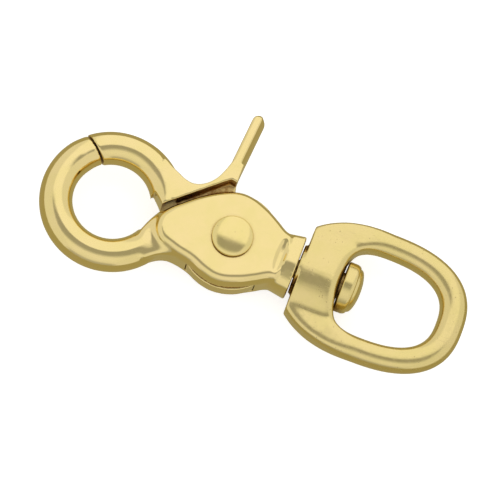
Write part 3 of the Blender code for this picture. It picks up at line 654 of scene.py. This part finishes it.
arm = outline_blank("arm", [
    (jaw_top.x, jaw_top.y, "VECTOR"), (jaw_side.x, jaw_side.y, "VECTOR"), (jaw_low.x, jaw_low.y, "AUTO"),
    (arm_front, underside_y(arm_front), "VECTOR"), (LEVER_FOOT_X, underside_y(LEVER_FOOT_X), "VECTOR"),
    (lever_right, lever_base, "VECTOR"), (lever_right, lever_neck, "VECTOR"),
    (lever_left + 0.3 * LEVER_HALF_WIDTH, lever_neck, "VECTOR"),
    (lever_left - 0.3 * LEVER_HALF_WIDTH, LEVER_FOOT_Y + 0.3 * LEVER_HALF_WIDTH, "AUTO"),
    (lever_left - 1.1 * LEVER_HALF_WIDTH, LEVER_FOOT_Y - 1.3 * LEVER_HALF_WIDTH, "AUTO"),
    (lever_left - 2.3 * LEVER_HALF_WIDTH, LEVER_FOOT_Y - 2.45 * LEVER_HALF_WIDTH, "AUTO"),
    (0.55 * lever_left + 0.45 * jaw_top.x, LEVER_FOOT_Y - 3.0 * LEVER_HALF_WIDTH, "AUTO"),
    (0.27 * lever_left + 0.73 * jaw_top.x, LEVER_FOOT_Y - 2.2 * LEVER_HALF_WIDTH, "AUTO")],
    JAW_HALF_THICKNESS, JAW_EDGE_RADIUS)
jaw = ring_sector("jaw", TRIGGER_ARC_END, JOINT_ANGLE + JOINT_OVERLAP)
cut_far = UNDERSIDE_FRONT.x + 3 * STOCK_RADIUS
cut_corner = UNDERSIDE_FRONT.x - 0.75 * STOCK_RADIUS
cut_drop = 4 * STOCK_RADIUS
underside = outline_blank("underside", [
    (cut_far, underside_y(cut_far), "VECTOR"), (UNDERSIDE_FRONT.x, UNDERSIDE_FRONT.y, "VECTOR"),
    (cut_corner, UNDERSIDE_FRONT.y + 0.68 * STOCK_RADIUS, "VECTOR"),
    (cut_corner, underside_y(cut_corner) - cut_drop, "VECTOR"),
    (cut_far, underside_y(cut_far) - cut_drop, "VECTOR")], STOCK_RADIUS + OVERRUN, 0.0)
join_or_cut(jaw, [joint_block(False), underside], "DIFFERENCE")


def thumb_lever():
    """Lever drawn up from a small plate: one flank straight, the other sloping, the tip rounded."""
    clear_selection()
    bpy.ops.mesh.primitive_grid_add(x_subdivisions=6, y_subdivisions=8, size=2.0)
    piece = bpy.context.object
    piece.name = "thumb_lever"
    for vertex in piece.data.vertices:
        a, b = vertex.co.x, vertex.co.y
        slope = 0.62 * LEVER_HALF_WIDTH * abs(b) ** 1.6
        wide = LEVER_HALF_WIDTH * a - (slope if a > 0 else 0.12 * slope) * a
        vertex.co = (LEVER_FOOT_X + wide, LEVER_FOOT_Y, JAW_HALF_THICKNESS * b * (1.0 - 0.06 * abs(a) ** 3))
    stations = [(0.25, 1.0), (0.5, 1.0), (0.75, 1.0)]
    rise = LEVER_TIP_Y - LEVER_FOOT_Y
    stations += [(1.0 - LEVER_CROWN / rise * (1.0 - math.sin(t)), max(math.cos(t), 0.25)) for t in (
        0.0, 0.35, 0.7, 1.05, 1.4)]
    bpy.ops.object.mode_set(mode="EDIT")
    bpy.ops.mesh.select_all(action="SELECT")
    height, width = 0.0, 1.0
    for share, next_width in stations:
        bpy.ops.mesh.extrude_region_move(TRANSFORM_OT_translate={
            "value": (LEVER_LEAN * (share - height), rise * (share - height), 0.0)})
        centre = (LEVER_FOOT_X + LEVER_LEAN * share, 0.0, 0.0)
        bpy.ops.transform.resize(
            value=(next_width / width, 1.0, (next_width / width) ** 0.35), center_override=centre)
        height, width = share, next_width
    bpy.ops.object.mode_set(mode="OBJECT")
    weld(piece)
    return piece


join_or_cut(trigger, [web, arm, jaw, thumb_lever()], "UNION")
hub_bore = rod("hub_bore", RIVET_SHANK_RADIUS + GAP, (0, 0, -OVERRUN), (0, 0, OVERRUN))
pocket_floor = hub_half - POCKET_FLOOR
pocket_radius = SPRING_COIL_RADIUS + SPRING_WIRE_RADIUS + 2 * GAP
pocket = rod("pocket", pocket_radius, (0, 0, -OVERRUN), (0, 0, pocket_floor))
leg_reach = SPRING_COIL_RADIUS + SPRING_LEG + GAP
leg_half = SPRING_WIRE_RADIUS + 4 * GAP
leg_slot = outline_blank("leg_slot", [
    (0.0, leg_half, "VECTOR"), (-leg_reach, leg_half, "VECTOR"), (-leg_reach, -leg_half, "VECTOR"),
    (0.0, -leg_half, "VECTOR")], (OVERRUN + pocket_floor) / 2, 0.0,
    Matrix.Translation((0.0, 0.0, (pocket_floor - OVERRUN) / 2)))
join_or_cut(trigger, [hub_bore, pocket, leg_slot], "DIFFERENCE")

TRIGGER_GRAIN = 0.00024
JAW_FILLET_REAR = (-0.0085, -0.0105)
JAW_FILLET_FRONT = (-0.0245, -0.0215)
JAW_FILLET_LEVEL = (0.0023, 0.0028)
JAW_FILLET_EDGE = (0.0006, 0.0018)
JAW_FILLET_PASSES = 24


def jaw_fillet(place):
    """How strongly the trigger is filleted at a place: where the jaw runs into the arm."""
    along = share_between(place.x, *JAW_FILLET_REAR) * share_between(place.x, *JAW_FILLET_FRONT)
    above_underside = place.y - underside_y(place.x)
    return (along * share_between(abs(place.z), *JAW_FILLET_LEVEL)
            * share_between(above_underside, *JAW_FILLET_EDGE))


cast_surface(trigger, TRIGGER_GRAIN, SOFTEN_PASSES, jaw_fillet, JAW_FILLET_PASSES)
place_at_pivot(trigger)
dress(trigger, polished_brass)
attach(trigger, "trigger")
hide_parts("trigger")

# Pivot rivet: soft brass, its shank through cheeks and hub and both ends headed over into low
# domes. The set leaves them satin rather than polished.
RIVET_HEAD_RADIUS = 0.00453
RIVET_HEAD_RIM = 0.0004
RIVET_HEAD_DOME = 0.0010
RIVET_HEAD_EDGE = 0.0002
RIVET_DOME_TIP = 0.0001
RIVET_DOME_STEPS = 17


def turned(name, profile, matrix=None, vertices=96):
    """Turned part, drawn out of a round plate from one step of (radius, height) to the next."""
    clear_selection()
    radius, height = profile[0]
    bpy.ops.mesh.primitive_circle_add(
        vertices=vertices, radius=radius, fill_type="NGON", location=(0.0, 0.0, height))
    piece = bpy.context.object
    piece.name = name
    settle(piece)
    bpy.ops.object.mode_set(mode="EDIT")
    bpy.ops.mesh.select_all(action="SELECT")
    for next_radius, next_height in profile[1:]:
        bpy.ops.mesh.extrude_region_move(TRANSFORM_OT_translate={"value": (0.0, 0.0, next_height - height)})
        share = next_radius / radius
        bpy.ops.transform.resize(value=(share, share, 1.0), center_override=(0.0, 0.0, next_height))
        radius, height = next_radius, next_height
    bpy.ops.object.mode_set(mode="OBJECT")
    weld(piece)
    if matrix is not None:
        piece.matrix_world = matrix
        settle(piece)
    take(piece)
    bpy.ops.object.shade_smooth_by_angle(angle=math.radians(38.0))
    return piece


rivet_rim = CHEEK_HALF_THICKNESS + GAP + RIVET_HEAD_RIM
rivet_upper = [
    (RIVET_SHANK_RADIUS, rivet_rim - RIVET_HEAD_RIM),
    (RIVET_HEAD_RADIUS - RIVET_HEAD_EDGE, rivet_rim - RIVET_HEAD_RIM),
    (RIVET_HEAD_RADIUS, rivet_rim - 0.5 * RIVET_HEAD_RIM)]
for i in range(RIVET_DOME_STEPS):
    lift = math.radians(90.0 * i / RIVET_DOME_STEPS)
    rivet_upper.append((RIVET_HEAD_RADIUS * math.cos(lift), rivet_rim + RIVET_HEAD_DOME * math.sin(lift)))
rivet_upper.append((RIVET_DOME_TIP, rivet_rim + RIVET_HEAD_DOME))
rivet_lower = [(radius, -height) for radius, height in reversed(rivet_upper)]
rivet = turned("rivet", rivet_lower + rivet_upper)
place_at_pivot(rivet)
rivet_brass = brass_finish(
    "rivet_brass", (0.93, 0.75, 0.32), (0.24, 0.13, 0.03), 0.14, 0.000012, 0.12)
dress(rivet, rivet_brass)
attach(rivet, "hook")
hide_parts("pivot_rivet")

# Torsion spring: hard-drawn steel wire coiled round the rivet in the hub's pocket, bright but
# greyed with oil. It stays as the frame gives it.
spring_steel = bpy.data.materials.new("spring_steel")
spring_steel.use_nodes = True
steel = spring_steel.node_tree.nodes["Principled BSDF"]
steel.inputs["Metallic"].default_value = 1.0
wire = Socket(spring_steel.node_tree)
wire_place = wire.node("ShaderNodeTexCoord", output=3)
draw_marks = wire.node("ShaderNodeTexNoise", Vector=wire_place, Scale=2400.0, Detail=4.0, Roughness=0.6)
wire_colour = wire.node(
    "ShaderNodeMix", {"data_type": "RGBA"}, output=2, i0=draw_marks.ease(0.35, 0.7),
    i6=(0.42, 0.41, 0.39, 1.0), i7=(0.60, 0.585, 0.56, 1.0))
wire_rough = 0.24 + draw_marks * 0.22
spring_steel.node_tree.links.new(wire_colour.source, steel.inputs["Base Color"])
spring_steel.node_tree.links.new(wire_rough.source, steel.inputs["Roughness"])
wire_bump = wire.node("ShaderNodeBump", Height=draw_marks * 0.000004, Strength=1.0, Distance=1.0)
spring_steel.node_tree.links.new(wire_bump.source, steel.inputs["Normal"])
spring = frame["nodes"]["torsion_spring"]
spring.data.materials.clear()
spring.data.materials.append(spring_steel)

# Swivel eye: a brass casting with a crowned collar for the pin and an oval bow for a strap or
# ring. It is left satin from tumbling, with a finely pitted skin.
EYE_REAR_X = 0.0163
EYE_WIDEST_X = 0.0330
EYE_END_X = 0.05425
EYE_HALF_WIDTH = 0.01515
EYE_OPENING_REAR_X = 0.02566
EYE_OPENING_HALF_WIDTH = 0.00962
EYE_BOW_END_THICKNESS = 0.00605
EYE_BAR_HALF_HEIGHT = 0.0029
COLLAR_HALF_HEIGHT = 0.0057
COLLAR_CROWN_RADIUS = 0.0135
COLLAR_WING_HALF_HEIGHT = 0.0031
OUTER_POWER_BOW = 2.5
OUTER_POWER_COLLAR = 2.2
INNER_POWER_BOW = 2.65
INNER_POWER_COLLAR = 3.5
BAR_POWER_BOW = 2.3
BAR_POWER_COLLAR = 5.0
COLLAR_BLEND = 2.2
CROWN_POWER = 10
EYE_BOSS_RADIUS = 0.0056
PIN_RADIUS = 0.0030
PIN_HEAD_RADIUS = 0.0057


def squared_ellipse(angle, half_length, half_width, power):
    """Point of a squared-off ellipse."""
    c = math.cos(angle)
    s = math.sin(angle)
    return (half_length * math.copysign(abs(c) ** (2 / power), c),
            half_width * math.copysign(abs(s) ** (2 / power), s))


def eye_point(round_eye, round_bar):
    """Point of the eye's skin at an angle round the opening and an angle round the bar."""
    ahead = math.cos(round_eye) >= 0
    out_length = EYE_END_X - EYE_WIDEST_X
    in_length = out_length - EYE_BOW_END_THICKNESS if ahead else EYE_WIDEST_X - EYE_OPENING_REAR_X
    outer_power = OUTER_POWER_BOW if ahead else OUTER_POWER_COLLAR
    inner_power = INNER_POWER_BOW if ahead else INNER_POWER_COLLAR
    outer = squared_ellipse(round_eye, out_length, EYE_HALF_WIDTH, outer_power)
    inner = squared_ellipse(round_eye, in_length, EYE_OPENING_HALF_WIDTH, inner_power)
    middle = Vector(((inner[0] + outer[0]) / 2 + EYE_WIDEST_X, (inner[1] + outer[1]) / 2, 0.0))
    half = Vector(((outer[0] - inner[0]) / 2, (outer[1] - inner[1]) / 2, 0.0))
    blend = min(1.0, max(0.0, -math.cos(round_eye)) * COLLAR_BLEND)
    a, b = squared_ellipse(round_bar, 1.0, 1.0, BAR_POWER_BOW + (BAR_POWER_COLLAR - BAR_POWER_BOW) * blend)
    place = middle + half * a
    reach = min(abs(place.y), COLLAR_CROWN_RADIUS)
    drop = COLLAR_CROWN_RADIUS - math.sqrt(COLLAR_CROWN_RADIUS ** 2 - reach ** 2)
    crown = max(COLLAR_HALF_HEIGHT - drop, 0.0)
    crown = (crown ** CROWN_POWER + COLLAR_WING_HALF_HEIGHT ** CROWN_POWER) ** (1 / CROWN_POWER)
    place.z = b * (EYE_BAR_HALF_HEIGHT + (crown - EYE_BAR_HALF_HEIGHT) * blend)
    return place


clear_selection()
bpy.ops.mesh.primitive_torus_add(major_segments=192, minor_segments=48, major_radius=1.0, minor_radius=0.25)
eye = bpy.context.object
eye.name = "eye_casting"
for vertex in eye.data.vertices:
    round_eye = math.atan2(vertex.co.y, vertex.co.x)
    round_bar = math.atan2(vertex.co.z, math.hypot(vertex.co.x, vertex.co.y) - 1.0)
    vertex.co = eye_point(round_eye, round_bar)
weld(eye)
rear_cut = outline_blank("rear_cut", [
    (EYE_REAR_X, 0.02, "VECTOR"), (0.0, 0.02, "VECTOR"), (0.0, -0.02, "VECTOR"),
    (EYE_REAR_X, -0.02, "VECTOR")], 0.01, 0.0)
spot_face = rod("spot_face", PIN_HEAD_RADIUS + GAP, (EYE_OPENING_REAR_X, 0, 0), (EYE_WIDEST_X, 0, 0))
eye_boss = rod("eye_boss", EYE_BOSS_RADIUS, (NECK_END_X + GAP, 0, 0), (EYE_REAR_X + OVERRUN, 0, 0))
pin_bore = rod(
    "pin_bore", PIN_RADIUS + GAP, (EYE_REAR_X - OVERRUN, 0, 0), (EYE_OPENING_REAR_X + OVERRUN, 0, 0))
join_or_cut(eye, [rear_cut, spot_face], "DIFFERENCE")
join_or_cut(eye, [eye_boss], "UNION")
join_or_cut(eye, [pin_bore], "DIFFERENCE")
cast_surface(eye, CASTING_GRAIN, SOFTEN_PASSES)
place_at_pivot(eye)
satin_brass = brass_finish(
    "satin_brass", (0.86, 0.69, 0.30), (0.26, 0.13, 0.03), 0.20, 0.000016, 0.20)
dress(eye, satin_brass)
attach(eye, "eye")
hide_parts("swivel_eye")

# Swivel pin: turned brass, its domed head inside the eye, its shank through the collar and its
# tenon flared over inside the neck.
PIN_HEAD_RIM = 0.0029
PIN_HEAD_DOME = 0.0016
PIN_HEAD_EDGE = 0.0007
TENON_FLARE_RADIUS = 0.0027
TENON_FLARE_LENGTH = 0.0006
pin_seat = EYE_OPENING_REAR_X + GAP
pin_rim = pin_seat + PIN_HEAD_RIM
pin_shoulder = NECK_END_X + GAP
pin_tail = HUB_RADIUS + 2 * GAP
pin_profile = [
    (TENON_FLARE_RADIUS, pin_tail), (TENON_RADIUS, pin_tail + TENON_FLARE_LENGTH),
    (TENON_RADIUS, pin_shoulder),
    (PIN_RADIUS, pin_shoulder), (PIN_RADIUS, pin_seat), (PIN_HEAD_RADIUS - PIN_HEAD_EDGE, pin_seat)]
for i in range(1, 7):
    bend = math.radians(15.0 * i)
    pin_profile.append((PIN_HEAD_RADIUS - PIN_HEAD_EDGE * (1 - math.sin(bend)),
                        pin_seat + 0.5 * PIN_HEAD_EDGE * (1 - math.cos(bend))))
for i in range(1, 7):
    bend = math.radians(15.0 * i)
    pin_profile.append((PIN_HEAD_RADIUS - PIN_HEAD_EDGE * (1 - math.cos(bend)),
                        pin_rim - 2 * PIN_HEAD_EDGE * (1 - math.sin(bend))))
dome_radius = PIN_HEAD_RADIUS - PIN_HEAD_EDGE
for i in range(15, -1, -1):
    share = max(i / 16, 0.02)
    pin_profile.append((dome_radius * share, pin_rim + PIN_HEAD_DOME * math.sqrt(1 - share ** 2)))
pin = turned("pin", pin_profile, Matrix.Rotation(math.radians(90.0), 4, "Y"))
place_at_pivot(pin)
dress(pin, satin_brass)
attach(pin, "hook")
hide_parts("swivel_pin")
